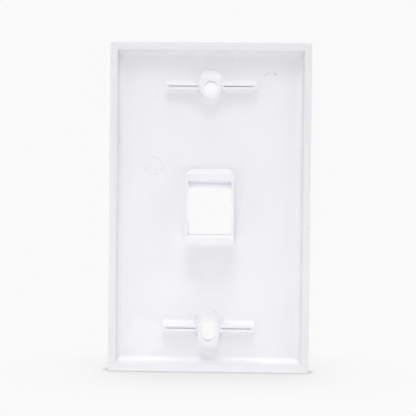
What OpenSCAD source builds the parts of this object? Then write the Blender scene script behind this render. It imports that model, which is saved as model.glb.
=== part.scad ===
// Single-gang keystone faceplate: a thin moulded wall plate with one port for a snap-in
// jack and two screw holes. The back rim bears on the wall at Y = 0, the front face looks
// toward -Y, +Z is up, and the origin is the middle of the plate in the plane of the rim.

/* [Plate] */
// Width of the plate
plate_w = 69.85; // [60:0.05:90]
// Height of the plate
plate_h = 114.3; // [105:0.05:140]
// Depth from the back rim to the front face
plate_d = 6.5; // [5.5:0.1:9]
// Thickness of the front wall
face_t = 2.2; // [1.6:0.1:2.8]
// Radius of the rounded front edges
edge_r = 3.2; // [1:0.1:4]
// Radius of the four upright corners
corner_r = 0.6; // [0.2:0.1:2]
// How far the outer walls lean in before the edge rounding starts
outer_draft = 0.3; // [0:0.05:0.6]

/* [Hollow back] */
// Width of the flat rim along the two long sides
rim_side = 2.5; // [1.8:0.1:3.5]
// Width of the flat rim along the top and the bottom
rim_end = 2.55; // [1.8:0.05:3.5]
// Draft of the inner walls along the long sides, in degrees
wall_draft_side = 7; // [2:1:20]
// Draft of the inner walls along the top and the bottom, in degrees
wall_draft_end = 11; // [2:1:20]
// Radius of the cove where the inner walls run into the floor
cove_r = 1.8; // [0.6:0.1:2.6]

/* [Screw holes] */
// Distance between the two mounting screws
screw_spacing = 83.34; // [80:0.01:86]
// Diameter of the upper screw hole, and width of the lower slot
screw_hole_d = 4.76; // [4:0.01:5.2]
// How far the lower slot lets its screw move outward
slot_play = 2.75; // [1:0.05:3.5]
// Diameter of the countersinks on the front face
sink_d = 7.6; // [6.5:0.1:8.2]
// Included angle of the countersinks
sink_angle = 82; // [60:1:100]

/* [Screw bosses] */
// Radius of a boss around its screw, at the end face
boss_r = 3.65; // [3.2:0.05:4.2]
// Radius of a boss around its screw, at the floor
boss_foot_r = 5.65; // [4.4:0.05:6.5]
// How far a boss reaches outward past its screw, to the middle of its round end
boss_run = 3.3; // [2.8:0.1:4]
// Height of a boss above the floor
boss_h = 3.7; // [2.9:0.1:4.2]
// Flat end face between the upper hole and the ramp outside it
ramp_land = 0.95; // [0.4:0.05:1.2]
// How far the ramp of the upper boss runs outward on its way to the floor
ramp_run = 3.7; // [2.5:0.1:4.5]

/* [Ribs] */
// Distance between the upper and the lower pair of ribs
rib_spacing = 84.5; // [82:0.1:88]
// Length of a whole pair of ribs, across its boss
rib_l = 32; // [24:0.1:40]
// Width of a rib at its crest
rib_w = 2.5; // [1.8:0.1:3.5]
// Height of a rib above the floor
rib_h = 2.8; // [2.1:0.1:2.9]
// How far each flank of a rib spreads on its way down to the fillet
rib_draft = 0.2; // [0:0.05:0.8]
// Radius along the two edges of the crest
rib_round = 0.4; // [0.1:0.1:0.6]
// Radius of the fillet along the foot of a rib
rib_fillet = 1.4; // [0.3:0.1:1.5]
// Distance from the middle of the boss to the near end of the groove
groove_start = 4.5; // [4.3:0.1:6]
// Width of the narrow groove along the crest of a rib
groove_w = 0.35; // [0.2:0.05:0.8]
// Depth of the groove
groove_d = 0.9; // [0.3:0.1:2.4]
// Solid end left between the groove and the end of its rib
groove_end = 1.2; // [0.6:0.1:3]

/* [Keystone port] */
// Width of the port, inside
port_w = 14.85; // [14.5:0.05:15.3]
// Height of the window in the front face
window_h = 16.3; // [16:0.05:16.6]
// Height of the throat behind the window, where the jack goes in
throat_h = 18.75; // [18.2:0.05:19.6]
// Lower edge of the window and the throat, from the middle of the plate
port_low = -9.45; // [-12:0.05:-7]
// Depth of the port from the front face to the back end of its collar
port_d = 9.8; // [9:0.1:11]
// Thickness of the front lip that stops the top of the jack
lip_t = 4; // [3.5:0.1:4.5]
// Depth from the front face to the ledge under the foot of the jack
sill_t = 6.5; // [6:0.1:7]
// Length of the catch for the jack's latch, at the top
latch_catch = 2; // [1.2:0.1:2.6]
// Length of the catch for the jack's hook, at the bottom
hook_catch = 1.8; // [1.2:0.1:2.4]
// How far the latch pocket reaches up past the throat
latch_pocket = 1.5; // [1:0.1:2]
// How far below the top of the throat the latch pocket is cut deeper than the lip's back
relief_h = 1.2; // [0.5:0.1:2]
// How much deeper the latch pocket is cut there
relief_d = 0.8; // [0.3:0.1:1.5]
// How far the hook pocket reaches down past the throat
hook_pocket = 2; // [1.2:0.1:2.4]
// Radius of the lead-in along the back edge of the hook's catch
hook_lead = 0.9; // [0.3:0.1:1.1]

/* [Port collar] */
// Thickness of the collar's side walls
collar_side = 1.0; // [0.8:0.05:2]
// Thickness of the collar's upper bar at its back end
collar_top = 2.0; // [1.8:0.1:3]
// Thickness of the collar's lower bar
collar_bottom = 3.15; // [2.8:0.05:4]
// Radius of the collar's upright corners
collar_r = 0.9; // [0.3:0.1:2]
// How far the collar's upper wall leans out from its back end to the floor
hood_run = 2.3; // [0.5:0.1:3]
// How far the leaning wall draws in at each side on its way to the floor
hood_inset = 1.2; // [0:0.1:2]

/* [Hidden] */
$fn = 64;

// Slack by which a cutting shape passes the surface that it cuts
past = 1;
// Depth to which whatever rises from the floor is rooted in the front wall
root = face_t / 2;

floor_y = face_t - plate_d;
front_y = -plate_d;
screw_z = screw_spacing / 2;
rib_z = rib_spacing / 2;
sink_depth = (sink_d - screw_hole_d) / 2 / tan(sink_angle / 2);
port_back_y = front_y + port_d;
window_top = port_low + window_h;
throat_top = port_low + throat_h;
collar_w = port_w + 2 * collar_side;
collar_high = throat_top + collar_top;
collar_low = port_low - collar_bottom;

// A shape drawn in X and Y, made long in Z about the middle of the plate.
module along_z(length) {
    translate([0, 0, -length / 2]) linear_extrude(length) children();
}

// A shape drawn in Z and Y, made long in X about the middle of the plate.
module along_x(length) {
    rotate([0, -90, 0]) along_z(length) children();
}

// A shape drawn in X and Z, made deep in Y from one plane to another.
module along_y(from_y, to_y) {
    translate([0, to_y, 0]) rotate([90, 0, 0]) linear_extrude(to_y - from_y) children();
}

// A rectangle with round corners, centred on the origin.
module rounded_rectangle(width, height, radius) {
    square([width - 2 * radius, height], center = true);
    square([width, height - 2 * radius], center = true);
    for (side = [-1, 1], end = [-1, 1])
        translate([side * (width / 2 - radius), end * (height / 2 - radius)]) circle(radius);
}

// A slot with round ends, as wide as given, with its end centres a given distance apart.
module slot_outline(width, centres) {
    square([width, centres], center = true);
    for (end = [-1, 1])
        translate([0, end * centres / 2]) circle(d = width);
}

// Section through the plate's outside: leaning walls, round front edges and a flat face.
module outer_section(size) {
    half = size / 2;
    shoulder = half - outer_draft;
    turn_y = front_y + edge_r;
    polygon([[-half, 0], [half, 0], [shoulder, turn_y], [-shoulder, turn_y]]);
    translate([edge_r - shoulder, front_y]) square([2 * (shoulder - edge_r), edge_r]);
    intersection() {
        union() {
            for (side = [-1, 1])
                translate([side * (shoulder - edge_r), turn_y]) circle(edge_r);
        }
        translate([-half, front_y]) square([size, plate_d]);
    }
}

// Section through the hollow back: drafted inner walls, each with a cove down to the floor.
module hollow_section(size, rim, draft) {
    mouth = size / 2 - rim;
    wall_end_y = floor_y + cove_r * (1 - sin(draft));
    wall_end = mouth + wall_end_y * tan(draft);
    cove = wall_end - cove_r * cos(draft);
    polygon([
        [-mouth, past], [-mouth, 0], [-wall_end, wall_end_y], [-cove, floor_y + cove_r],
        [-cove, floor_y], [cove, floor_y],
        [cove, floor_y + cove_r], [wall_end, wall_end_y], [mouth, 0], [mouth, past]
    ]);
    for (side = [-1, 1])
        translate([side * cove, floor_y + cove_r]) circle(cove_r);
}

// The plate as a tray, with mitred bands where its inner walls meet in the corners.
module tray() {
    difference() {
        intersection() {
            along_z(plate_h) outer_section(plate_w);
            along_x(plate_w) outer_section(plate_h);
            along_y(front_y, 0) rounded_rectangle(plate_w, plate_h, corner_r);
        }
        intersection() {
            along_z(plate_h) hollow_section(plate_w, rim_side, wall_draft_side);
            along_x(plate_w) hollow_section(plate_h, rim_end, wall_draft_end);
        }
    }
}

// The body of a boss: it flares to the floor around its screw, and its round outer end
// stands straight.
module screw_boss() {
    flare = (boss_foot_r - boss_r) / boss_h;
    translate([0, floor_y - root, screw_z]) rotate([-90, 0, 0])
        cylinder(h = boss_h + root, r1 = boss_foot_r + root * flare, r2 = boss_r);
    along_y(floor_y - root, floor_y + boss_h)
        translate([0, screw_z + boss_run / 2]) slot_outline(2 * boss_r, boss_run);
}

// The boss of the upper screw, with its outer side cut to a ramp.
module ramped_boss() {
    ramp_start = screw_z + screw_hole_d / 2 + ramp_land;
    inner_end = screw_z - 2 * boss_foot_r;
    intersection() {
        screw_boss();
        along_x(4 * boss_foot_r) polygon([
            [inner_end, front_y], [inner_end, floor_y + boss_h + past],
            [ramp_start - past * ramp_run / boss_h, floor_y + boss_h + past],
            [ramp_start + ramp_run, floor_y], [ramp_start + ramp_run, front_y]
        ]);
    }
}

// Section of a rib: rounded crest, drafted flanks and a fillet along each foot.
module rib_section() {
    crest = rib_w / 2;
    foot = crest + rib_draft;
    crest_y = floor_y + rib_h;
    fillet_y = floor_y + rib_fillet;
    difference() {
        polygon([
            [-foot - rib_fillet, floor_y - root], [-foot - rib_fillet, fillet_y],
            [-foot, fillet_y], [-crest, crest_y - rib_round], [crest, crest_y - rib_round],
            [foot, fillet_y], [foot + rib_fillet, fillet_y], [foot + rib_fillet, floor_y - root]
        ]);
        for (side = [-1, 1])
            translate([side * (foot + rib_fillet), fillet_y]) circle(rib_fillet);
    }
    translate([rib_round - crest, crest_y - 2 * rib_round])
        square([rib_w - 2 * rib_round, 2 * rib_round]);
    for (side = [-1, 1])
        translate([side * (crest - rib_round), crest_y - rib_round]) circle(rib_round);
}

// The pair of ribs that runs out sideways from the upper boss.
module rib_pair() {
    translate([0, 0, rib_z]) along_x(rib_l) rib_section();
}

// The grooves in the crests of the upper ribs, which stop short of the boss.
module rib_grooves() {
    groove_l = rib_l / 2 - groove_end - groove_start;
    for (side = [-1, 1])
        translate([side * (groove_start + groove_l / 2), 0, rib_z])
            along_y(floor_y + rib_h - groove_d, floor_y + rib_h + past)
                square([groove_l, groove_w], center = true);
}

// The round upper screw hole with its countersink.
module screw_hole() {
    translate([0, 0, screw_z]) {
        along_y(front_y - past, past) circle(d = screw_hole_d);
        screw_sink();
    }
}

// The countersink for one screw, from the front face inward.
module screw_sink() {
    widening = past * tan(sink_angle / 2);
    translate([0, front_y - past, 0]) rotate([-90, 0, 0])
        cylinder(
            h = sink_depth + past,
            d1 = sink_d + 2 * widening,
            d2 = screw_hole_d
        );
}

// The lower screw slot. Its countersink is as long as the slot, so an oval head can slide.
module screw_slot() {
    sink_half = sink_d / 2;
    hole_half = screw_hole_d / 2;
    widening = past * tan(sink_angle / 2);
    translate([0, 0, -screw_z - slot_play / 2]) {
        along_y(front_y - past, past) slot_outline(screw_hole_d, slot_play);
        along_z(slot_play) polygon([
            [-sink_half - widening, front_y - past], [sink_half + widening, front_y - past],
            [hole_half, front_y + sink_depth], [-hole_half, front_y + sink_depth]
        ]);
        for (end = [-1, 1])
            translate([0, 0, end * slot_play / 2]) screw_sink();
    }
}

// The collar around the port, which stands back from the floor past the rim. Its upper
// wall leans out to cover the latch pocket.
module port_collar() {
    root_y = floor_y - root;
    collar_mid = (collar_high + collar_low) / 2;
    along_y(root_y, port_back_y)
        translate([0, collar_mid])
            rounded_rectangle(collar_w, collar_high - collar_low, collar_r);
    intersection() {
        along_x(collar_w) polygon([
            [collar_high, port_back_y], [collar_high + hood_run, floor_y],
            [collar_high + hood_run, root_y], [throat_top, root_y],
            [throat_top, port_back_y]
        ]);
        along_z(plate_h) polygon([
            [-collar_w / 2, port_back_y], [hood_inset - collar_w / 2, floor_y],
            [hood_inset - collar_w / 2, root_y], [collar_w / 2 - hood_inset, root_y],
            [collar_w / 2 - hood_inset, floor_y], [collar_w / 2, port_back_y]
        ]);
    }
}

// The space inside the port: window, throat, latch pocket above and hook pocket below.
module port_space() {
    lip_y = front_y + lip_t;
    sill_y = front_y + sill_t;
    catch_y = port_back_y - latch_catch;
    along_x(port_w) {
        translate([port_low, front_y - past]) square([window_h, port_d + 2 * past]);
        translate([port_low, lip_y]) square([throat_h, port_back_y + past - lip_y]);
        translate([throat_top - relief_h, lip_y - relief_d])
            square([relief_h + latch_pocket, catch_y + relief_d - lip_y]);
        translate([port_low - hook_pocket, sill_y])
            square([hook_pocket + past, port_back_y - hook_catch - sill_y]);
        difference() {
            translate([port_low - hook_lead, port_back_y - hook_lead])
                square([hook_lead + past, hook_lead + past]);
            translate([port_low - hook_lead, port_back_y - hook_lead]) circle(hook_lead);
        }
    }
}

// The whole plate, moulded in one piece.
module faceplate() {
    color("white") difference() {
        union() {
            tray();
            rib_pair();
            mirror([0, 0, 1]) rib_pair();
            ramped_boss();
            mirror([0, 0, 1]) screw_boss();
            port_collar();
        }
        rib_grooves();
        mirror([0, 0, 1]) rib_grooves();
        screw_hole();
        screw_slot();
        port_space();
    }
}

faceplate();
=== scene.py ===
"""Looks of the keystone faceplate: its moulded plastic, the small marks that the mould
left on its back, a pale floor, soft light and the camera. Everything is in metres in the
plate's own frame: the rim's plane is Y = 0, the hollow back looks toward +Y, +Z is up."""
import math

import bmesh
import bpy
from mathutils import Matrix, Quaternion, Vector
from mathutils.bvhtree import BVHTree


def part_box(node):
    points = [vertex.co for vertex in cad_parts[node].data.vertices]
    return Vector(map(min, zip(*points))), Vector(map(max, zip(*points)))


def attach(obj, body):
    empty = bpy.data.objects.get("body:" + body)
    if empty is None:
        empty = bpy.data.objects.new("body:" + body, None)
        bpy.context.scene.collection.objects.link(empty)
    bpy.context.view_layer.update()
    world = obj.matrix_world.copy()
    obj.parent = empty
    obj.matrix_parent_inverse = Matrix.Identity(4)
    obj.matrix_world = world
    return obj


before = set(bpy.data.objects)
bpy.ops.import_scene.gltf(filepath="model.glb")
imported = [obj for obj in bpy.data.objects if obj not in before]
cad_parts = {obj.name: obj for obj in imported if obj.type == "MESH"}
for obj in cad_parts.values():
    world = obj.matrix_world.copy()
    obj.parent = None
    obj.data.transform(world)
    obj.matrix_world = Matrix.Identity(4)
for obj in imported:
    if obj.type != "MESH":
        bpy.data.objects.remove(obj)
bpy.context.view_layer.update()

MM = 0.001
PLATE_LOW, PLATE_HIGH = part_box("faceplate")
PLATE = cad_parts["faceplate"]

# Camera: behind the plate, level with its middle, turned a little about its own axis. The
# roll is in radians, the lens and the sensor's width are in millimetres.
CAMERA_AT = Vector((-5.9, 300, 4.4)) * MM
CAMERA_AIM = Vector((0.54, 0, -0.11)) * MM
CAMERA_ROLL = 0.010
CAMERA_LENS = 74.82
CAMERA_SENSOR = 36
CAMERA_CLIP = 10 * MM

MIDDLE = Vector((0, 0, 0))

# Light: soft boxes far out, as name, elevation, azimuth from +Y toward +X in degrees, size
# in metres and power in watts; small lamps; and the white floor's own light from below. Two
# of the boxes stand on the plate's front side, for the looks of its face.
LIGHT_REACH = 0.8
SOFT_BOXES = [
    ("high", 61, 0, 0.17, 1.34),
    ("high_left", 61, 40, 0.17, 0.17),
    ("top", 78, 0, 0.30, 1.49),
    ("side_left", 30, 60, 0.40, 1.07),
    ("side_right", 30, -60, 0.40, 1.32),
    ("front", 30, 14, 0.40, 0.74),
    ("level", 0, 0, 0.40, 0.29),
    ("face_left", 10, 145, 0.30, 1.5),
    ("face_right", 10, -145, 0.30, 1.2),
]

# Small lamps: two strips near the floor, and two in the port's window for the light that
# the white plastic around the port lets into it. Each has its place, what it is turned to,
# its size in metres and its power.
SMALL_LAMPS = [
    ("low_far", Vector((0, 0.35, -0.020)), MIDDLE, (0.40, 0.05), 0.055),
    ("low_near", Vector((0, 0.10, -0.035)), MIDDLE, (0.30, 0.02), 0.019),
    ("port_up", Vector((0, 2.5, -7)) * MM, Vector((0, -1, 10)) * MM, (0.003, 0.003), 0.00044),
    ("port_down", Vector((0, 1.5, 0)) * MM, Vector((0, 1.5, -9)) * MM, (0.006, 0.003), 0.00005),
]
FLOOR_SIZE = 3.0
FLOOR_COLOUR = 0.90
FLOOR_GLOW = 0.248

# What the camera sees around the plate: the white background, and on the floor the soft
# shadows where the plate stands, each as its reach and its depth.
WHITE = (1, 1, 1, 1)
BACKGROUND = 0.955
WIDE_SHADOW = (42 * MM, 0.33)
CONTACT_SHADOW = (3 * MM, 0.75)
SHADOW_SAMPLES = 32

# Noise gathers around its middle, and this part of its range is spread over the whole
NOISE_SPAN = (0.3, 0.7)

# The moulding's colour, and the two tints that it clouds between
PLASTIC = (0.864, 0.859, 0.884)
PLASTIC_IOR = 1.53
COOL_TINT = (0.987, 0.986, 1.0)
WARM_TINT = (1.0, 1.0, 0.995)
CLOUD_SIZE = 18

# Its roughness, as a range, and its skin: a fine grain and a broad wave, each as the size
# of its features in millimetres, its strength and its height
ROUGHNESS = (0.30, 0.42)
ROUGHNESS_SIZE = 6
GRAIN = (0.25, 0.10, 0.03 * MM)
WAVE = (9, 0.25, 0.10 * MM)

# The greys of the small marks, and how much lighter they get along them: dirt and wear on
# the speck and the scratch, painted shadow of a step on the pin mark's arcs, and on the
# nick partly painted shade of its dent
GREASE_AND_STEP_SHADOW = (0.42, 0.42, 0.43)
SCUFF_AND_DENT_SHADE = (0.70, 0.70, 0.72)
MARK_GREY_LIGHTER = 1.3
MARK_GREY_SIZE = 0.6
MARK_GREY_ROUGHNESS = 0.6
MARK_GREY_IOR = 1.5

# Light and shade painted into the moulding's colour: the rim is thick, so less light comes
# through it than through the thin floor, and it is painted darker as painted shade; more
# light comes into the latch pocket through its walls, so it is painted lighter as painted
# light; and one patch of the floor is painted lighter as a painted sheen.
RIM_INNER = (32.2 * MM, 54.4 * MM)
RIM_SOFT = 0.4 * MM
RIM_DEPTH = (-4.0 * MM, -2.5 * MM)
RIM_PAINTED_SHADE = 0.94
PATCH_AT = Vector((23.0, -4.3, -46.4)) * MM
PATCH_REACH = (9.0 * MM, 4.5 * MM)
PATCH_RAGGED = 6 * MM
PATCH_RAGGED_SIZE = 4
PATCH_PAINTED_SHEEN = 1.03
POCKET_AT = Vector((0, 0, 9.3)) * MM
POCKET_HALF = (7.6 * MM, 2.9 * MM)
POCKET_SOFT = 0.2 * MM
POCKET_DEPTH = (1.2 * MM, 1.0 * MM)
POCKET_PAINTED_LIGHT = 1.12

# Mould marks on the back, as (X, Z) places on the plate in millimetres
MONTH_DIAL = (19.9, 15.1)
MONTH_RADIUS = 3.05
YEAR_DIAL = (20.0, 7.6)
YEAR_RADIUS = 2.85
PIN_MARK = (-21.1, 44.3)
PIN_RADIUS = 3.1

# How a mark is made: how deep its foot is let into the plate, in millimetres, the points
# across it, and the narrowest share of its size at an open end
MARK_FOOT = 0.01
MARK_ACROSS = 9
MARK_END = 0.1


# ---------------------------------------------------------------- materials

class Nodes:
    """A material's node tree, with short calls to add and join nodes."""

    def __init__(self, tree):
        self.tree = tree
        self.tree.nodes.clear()

    def add(self, kind, **settings):
        node = self.tree.nodes.new(kind)
        inputs = settings.pop("inputs", {})
        for key, value in settings.items():
            setattr(node, key, value)
        for key, value in inputs.items():
            if isinstance(value, bpy.types.NodeSocket):
                self.tree.links.new(value, node.inputs[key])
            else:
                node.inputs[key].default_value = value
        return node

    def noise(self, place, size, detail=2):
        """Noise whose features are about `size` millimetres across."""
        node = self.add(
            "ShaderNodeTexNoise",
            inputs={"Vector": place, "Scale": 1 / (size * MM), "Detail": detail},
        )
        return node.outputs["Fac"]

    def spread(self, noise, low, high):
        """Noise stretched to run from low to high."""
        node = self.add(
            "ShaderNodeMapRange",
            inputs={
                "Value": noise, "From Min": NOISE_SPAN[0], "From Max": NOISE_SPAN[1],
                "To Min": low, "To Max": high,
            },
        )
        return node.outputs["Result"]

    def ramp(self, value, reach, ends):
        """A smooth step from ends[0] to ends[1] as the value goes over its reach."""
        node = self.add(
            "ShaderNodeMapRange", interpolation_type="SMOOTHSTEP",
            inputs={
                "Value": value, "From Min": reach[0], "From Max": reach[1],
                "To Min": ends[0], "To Max": ends[1],
            },
        )
        return node.outputs["Result"]

    def math(self, operation, first, second):
        """A sum, product or other maths of two values."""
        node = self.add("ShaderNodeMath", operation=operation, inputs={0: first, 1: second})
        return node.outputs["Value"]

    def bump(self, height, strength, distance, normal=None):
        """The surface's normal with a bump on it, or on a normal that has one already."""
        inputs = {"Height": height, "Strength": strength, "Distance": distance}
        if normal:
            inputs["Normal"] = normal
        return self.add("ShaderNodeBump", inputs=inputs).outputs["Normal"]

    def emission(self, strength):
        """White light of a strength."""
        node = self.add("ShaderNodeEmission", inputs={"Color": WHITE, "Strength": strength})
        return node.outputs["Emission"]

    def finish(self, shader):
        """Join a shader to the surface."""
        self.add("ShaderNodeOutputMaterial", inputs={"Surface": shader})

    def blend(self, factor, first, second):
        """A colour between two, by a factor."""
        node = self.add("ShaderNodeMix", data_type="RGBA")
        self.tree.links.new(factor, node.inputs["Factor"])
        node.inputs["A"].default_value = (*first, 1)
        node.inputs["B"].default_value = (*second, 1)
        return node.outputs["Result"]


def inside(nodes, place, centre, half, soft):
    """1 inside an upright rectangle across X and Z, falling to 0 over `soft` at its edges."""
    away = nodes.add("ShaderNodeVectorMath", operation="SUBTRACT", inputs={0: place, 1: centre})
    size = nodes.add(
        "ShaderNodeVectorMath", operation="ABSOLUTE", inputs={0: away.outputs["Vector"]}
    )
    reach = nodes.add("ShaderNodeSeparateXYZ", inputs={"Vector": size.outputs["Vector"]}).outputs
    masks = [
        nodes.ramp(reach[axis], (limit - soft, limit), (1, 0))
        for axis, limit in zip("XZ", half)
    ]
    return nodes.math("MULTIPLY", *masks)


def new_material(name):
    """A new material, and its empty node tree."""
    material = bpy.data.materials.new(name)
    material.use_nodes = True
    return material, Nodes(material.node_tree)


def plastic_material(name, colour):
    """Satin white ABS: faint clouding of tint and gloss from the flow, a fine grain, painted
    shade that darkens the rim against the thin floor, painted light that brightens the latch
    pocket and a painted sheen that brightens one patch of the floor."""
    material, nodes = new_material(name)
    place = nodes.add("ShaderNodeTexCoord").outputs["Object"]
    axes = nodes.add("ShaderNodeSeparateXYZ", inputs={"Vector": place}).outputs

    cloud = nodes.spread(nodes.noise(place, CLOUD_SIZE, detail=3), 0, 1)
    cool, warm = [[c * t for c, t in zip(colour, tint)] for tint in (COOL_TINT, WARM_TINT)]
    tint = nodes.blend(cloud, cool, warm)

    # The rim's mask, for the painted shade that darkens it
    past_side, past_end = [
        nodes.ramp(nodes.math("ABSOLUTE", axes[axis], 0), (inner - RIM_SOFT, inner), (0, 1))
        for axis, inner in zip("XZ", RIM_INNER)
    ]
    rim = nodes.math("MAXIMUM", past_side, past_end)
    rim = nodes.math("MULTIPLY", rim, nodes.ramp(axes["Y"], RIM_DEPTH, (0, 1)))

    # The patch's mask, for the painted sheen that brightens it
    # The noise, 0.5 at its middle, moves the patch's edge in and out
    away = nodes.add("ShaderNodeVectorMath", operation="DISTANCE", inputs={0: place, 1: PATCH_AT})
    ragged = nodes.math("MULTIPLY", nodes.noise(place, PATCH_RAGGED_SIZE), PATCH_RAGGED)
    away = nodes.math("ADD", away.outputs["Value"], ragged)
    patch = nodes.ramp(nodes.math("SUBTRACT", away, PATCH_RAGGED / 2), PATCH_REACH, (0, 1))

    # The latch pocket's mask, for the painted light that brightens it
    pocket = inside(nodes, place, POCKET_AT, POCKET_HALF, POCKET_SOFT)
    pocket = nodes.math("MULTIPLY", pocket, nodes.ramp(axes["Y"], POCKET_DEPTH, (0, 1)))

    # Painted shade on the rim, painted light in the latch pocket and a painted sheen on the patch,
    # multiplied into the colour
    shade = 1.0
    for mask, level in ((rim, RIM_PAINTED_SHADE), (patch, PATCH_PAINTED_SHEEN), (pocket, POCKET_PAINTED_LIGHT)):
        shade = nodes.math("MULTIPLY", shade, nodes.ramp(mask, (0, 1), (1, level)))
    shaded = nodes.add("ShaderNodeVectorMath", operation="SCALE", inputs={0: tint, "Scale": shade})

    grain_size, *grain_bump = GRAIN
    wave_size, *wave_bump = WAVE
    grain = nodes.bump(nodes.noise(place, grain_size, detail=3), *grain_bump)
    normal = nodes.bump(nodes.noise(place, wave_size), *wave_bump, normal=grain)
    shader = nodes.add(
        "ShaderNodeBsdfPrincipled",
        inputs={
            "Base Color": shaded.outputs["Vector"],
            "Roughness": nodes.spread(nodes.noise(place, ROUGHNESS_SIZE, detail=4), *ROUGHNESS),
            "IOR": PLASTIC_IOR,
            "Normal": normal,
        },
    )
    nodes.finish(shader.outputs["BSDF"])
    return material


def dirt_and_shade_material(name, colour):
    """Grey on a small mark, uneven along it: dirt and wear on some marks, painted shade and
    painted shadow on others.
    """
    material, nodes = new_material(name)
    place = nodes.add("ShaderNodeTexCoord").outputs["Object"]
    uneven = nodes.spread(nodes.noise(place, MARK_GREY_SIZE), 0, 1)
    tint = nodes.blend(uneven, colour, [c * MARK_GREY_LIGHTER for c in colour])
    shader = nodes.add(
        "ShaderNodeBsdfPrincipled",
        inputs={"Base Color": tint, "Roughness": MARK_GREY_ROUGHNESS, "IOR": MARK_GREY_IOR},
    )
    nodes.finish(shader.outputs["BSDF"])
    return material


def floor_material():
    """White paper. It lights the plate from below, and the camera sees it as the background
    with soft shadows where the plate stands on it."""
    material, nodes = new_material("floor_paper")
    seen = nodes.add("ShaderNodeLightPath").outputs["Is Camera Ray"]
    level = BACKGROUND
    for reach, depth in (WIDE_SHADOW, CONTACT_SHADOW):
        near = nodes.add(
            "ShaderNodeAmbientOcclusion", samples=SHADOW_SAMPLES, inputs={"Distance": reach}
        )
        shade = nodes.math("MULTIPLY", near.outputs["AO"], depth)
        level = nodes.math("MULTIPLY", level, nodes.math("ADD", shade, 1 - depth))
    paper = nodes.add("ShaderNodeBsdfDiffuse", inputs={"Color": (FLOOR_COLOUR,) * 3 + (1,)})
    lit = nodes.add(
        "ShaderNodeAddShader", inputs={0: paper.outputs["BSDF"], 1: nodes.emission(FLOOR_GLOW)}
    )
    surface = nodes.add(
        "ShaderNodeMixShader",
        inputs={0: seen, 1: lit.outputs["Shader"], 2: nodes.emission(level)},
    )
    nodes.finish(surface.outputs["Shader"])
    return material


# ---------------------------------------------------------------- mould marks

# The plate's own surface, to seat the marks on
SURFACE = BVHTree.FromPolygons(
    [PLATE.matrix_world @ vertex.co for vertex in PLATE.data.vertices],
    [tuple(face.vertices) for face in PLATE.data.polygons],
)


def seat(x, z):
    """The point of the plate's back at (x, z) millimetres, and the way its surface faces."""
    above = Vector((x * MM, PLATE_HIGH.y + 10 * MM, z * MM))
    point, normal, *_ = SURFACE.ray_cast(above, Vector((0, -1, 0)))
    return point, normal


def arc(at, radius, start=0, end=360, steps=48):
    """Points along a circle, or along a part of it, by angles in degrees from +X to +Z."""
    turns = [math.radians(start + (end - start) * i / steps) for i in range(steps + 1)]
    return [(at[0] + radius * math.cos(t), at[1] + radius * math.sin(t)) for t in turns]


def ridge(name, path, width, height, material, closed=False):
    """A low swell seated on the back along a path of (x, z) points in millimetres, with
    its foot let in a little. An open one narrows toward its ends."""
    if closed:
        path = path[:-1]
    count = len(path)
    vertices = []
    for i, (x, z) in enumerate(path):
        point, normal = seat(x, z)
        before = path[i - 1] if closed or i > 0 else path[i]
        after = path[(i + 1) % count] if closed or i < count - 1 else path[i]
        along = Vector((after[0] - before[0], 0, after[1] - before[1])).normalized()
        side = along.cross(normal).normalized()
        size = 1 if closed else max(MARK_END, math.sin(math.pi * i / (count - 1))) ** 0.5
        for j in range(MARK_ACROSS):
            t = 2 * j / (MARK_ACROSS - 1) - 1
            swell = height * size * (1 + math.cos(math.pi * t)) / 2 - MARK_FOOT
            vertices.append(point + (side * (width / 2 * size * t) + normal * swell) * MM)
    top = []
    below = []
    last = MARK_ACROSS - 1
    for i in range(count if closed else count - 1):
        a, b = i * MARK_ACROSS, (i + 1) % count * MARK_ACROSS
        top += [(a + j, a + j + 1, b + j + 1, b + j) for j in range(last)]
        below.append((a + last, a, b, b + last))
    if not closed:
        for i in (0, count - 1):
            below.append(tuple(i * MARK_ACROSS + j for j in range(MARK_ACROSS)))
    return mesh_piece(name, vertices, top + below, material, smooth=len(top))


def line(start, end, steps=8):
    """Points along a straight line between two (x, z) places."""
    return [
        tuple(a + (b - a) * i / steps for a, b in zip(start, end))
        for i in range(steps + 1)
    ]


def mesh_piece(name, vertices, faces, material, smooth):
    """A mesh piece of the plate, from vertices and faces in the plate's frame. The first
    `smooth` of its faces are shaded as one smooth surface."""
    mesh = bpy.data.meshes.new(name)
    mesh.from_pydata(vertices, [], faces)
    work = bmesh.new()
    work.from_mesh(mesh)
    bmesh.ops.recalc_face_normals(work, faces=work.faces)
    work.to_mesh(mesh)
    work.free()
    for face in mesh.polygons:
        face.use_smooth = face.index < smooth
    mesh.materials.append(material)
    piece = bpy.data.objects.new(name, mesh)
    bpy.context.scene.collection.objects.link(piece)
    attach(piece, "root")
    return piece


# ---------------------------------------------------------------- stage

def make_floor():
    """A level floor under the plate's bottom edge."""
    bpy.ops.mesh.primitive_plane_add(size=FLOOR_SIZE, location=(0, 0, PLATE_LOW.z))
    floor = bpy.context.object
    floor.name = "floor"
    floor.data.materials.append(floor_material())


def make_world():
    """A white background to the camera and in reflections. All light comes from the lamps
    and the floor."""
    world = bpy.data.worlds.new("studio")
    bpy.context.scene.world = world
    world.use_nodes = True
    nodes = Nodes(world.node_tree)
    path = nodes.add("ShaderNodeLightPath").outputs
    white = nodes.math("MAXIMUM", path["Is Camera Ray"], path["Is Glossy Ray"])
    white = nodes.math("MAXIMUM", white, path["Is Transmission Ray"])
    sky = nodes.add(
        "ShaderNodeBackground",
        inputs={"Color": WHITE, "Strength": nodes.math("MULTIPLY", white, BACKGROUND)},
    )
    nodes.add("ShaderNodeOutputWorld", inputs={"Surface": sky.outputs["Background"]})


def far_place(elevation, azimuth):
    """A place LIGHT_REACH from the plate's middle."""
    up, around = math.radians(elevation), math.radians(azimuth)
    level = math.cos(up)
    way = Vector((level * math.sin(around), level * math.cos(around), math.sin(up)))
    return way * LIGHT_REACH


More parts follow.
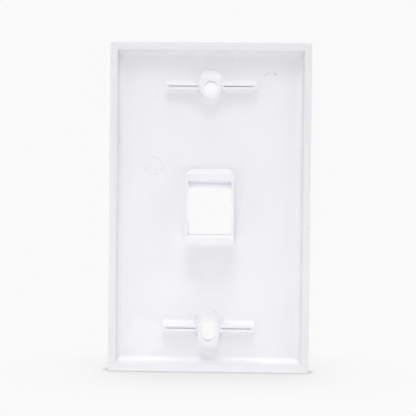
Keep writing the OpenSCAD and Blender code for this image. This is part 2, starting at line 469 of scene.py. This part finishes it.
def soft_box(name, at, aim, size, power):
    """A rectangular soft light at a place, turned toward a point."""
    light = bpy.data.lights.new(name, "AREA")
    light.shape = "RECTANGLE"
    light.size, light.size_y = size
    light.energy = power
    lamp = bpy.data.objects.new(name, light)
    bpy.context.scene.collection.objects.link(lamp)
    lamp.location = at
    lamp.rotation_mode = "QUATERNION"
    lamp.rotation_quaternion = (aim - at).to_track_quat("-Z", "Y")
    lamp.visible_camera = False


def make_camera():
    """The camera, with its picture turned clockwise by a small roll."""
    data = bpy.data.cameras.new("camera")
    data.sensor_width = CAMERA_SENSOR
    data.lens = CAMERA_LENS
    data.clip_start = CAMERA_CLIP
    camera = bpy.data.objects.new("camera", data)
    bpy.context.scene.collection.objects.link(camera)
    camera.location = CAMERA_AT
    camera.rotation_mode = "QUATERNION"
    look = (CAMERA_AIM - CAMERA_AT).to_track_quat("-Z", "Y")
    camera.rotation_quaternion = look @ Quaternion((0, 0, 1), CAMERA_ROLL)
    bpy.context.scene.camera = camera


# ---------------------------------------------------------------- the plate

white_plastic = plastic_material("white_plastic", PLASTIC)
for slot in PLATE.material_slots:
    slot.material = white_plastic

# Greys for the small marks: one for the speck's dirt and the pin arcs' painted shadow, one for the
# scratch's wear and the nick's painted dent shade
grease_and_step_shadow = dirt_and_shade_material("grey_grease_and_step_shadow", GREASE_AND_STEP_SHADOW)
scuff_and_dent_shade = dirt_and_shade_material("grey_scuff_and_dent_shade", SCUFF_AND_DENT_SHADE)

# Two round date stamps: raised rings, one with a bare dot and bar
month = arc(MONTH_DIAL, MONTH_RADIUS)
month_dot = line((20.4, 14.7), (21.3, 14.7))
month_pointer = line((19.4, 13.3), (18.2, 13.7))
year = arc(YEAR_DIAL, YEAR_RADIUS)
year_dot = line((20.9, 4.9), (20.0, 4.8))
ridge("month_ring", month, width=1.3, height=0.14, material=white_plastic, closed=True)
ridge("month_dot", month_dot, width=0.9, height=0.18, material=white_plastic)
ridge("month_pointer", month_pointer, width=0.8, height=0.16, material=white_plastic)
ridge("year_ring", year, width=1.0, height=0.06, material=white_plastic, closed=True)
ridge("year_dot", year_dot, width=0.8, height=0.16, material=white_plastic)

# The ejector pin's mark: a faint ring, with two grey arcs along parts of it that are
# painted shadow of a step in the mark
pin = arc(PIN_MARK, PIN_RADIUS)
pin_thin = arc(PIN_MARK, PIN_RADIUS, start=18, end=92, steps=18)
pin_thick = arc(PIN_MARK, PIN_RADIUS, start=96, end=137, steps=12)
ridge("pin_ring", pin, width=0.7, height=0.05, material=white_plastic, closed=True)
ridge("pin_step_shadow_thin", pin_thin, width=0.28, height=0.085, material=grease_and_step_shadow)
ridge("pin_step_shadow_thick", pin_thick, width=0.50, height=0.085, material=grease_and_step_shadow)

# Handling: a scratch at the top wall's foot, a speck and a dull nick on the rim; the nick's
# grey is partly painted shade of its dent
scratch = line((-6.4, 53.1), (-8.3, 51.2))
speck = line((-34.5, -6.4), (-34.5, -7.1))
nick = line((32.7, -25.1), (32.6, -26.4))
ridge("top_scratch", scratch, width=0.60, height=0.03, material=scuff_and_dent_shade)
ridge("rim_speck", speck, width=0.45, height=0.03, material=grease_and_step_shadow)
ridge("rim_nick", nick, width=0.60, height=0.05, material=scuff_and_dent_shade)

make_floor()
make_world()
for box_name, elevation, azimuth, box_size, box_power in SOFT_BOXES:
    box_at = far_place(elevation, azimuth)
    soft_box(box_name, box_at, MIDDLE, (box_size, box_size), box_power)
for lamp in SMALL_LAMPS:
    soft_box(*lamp)
make_camera()

bpy.context.scene.view_settings.view_transform = "Standard"
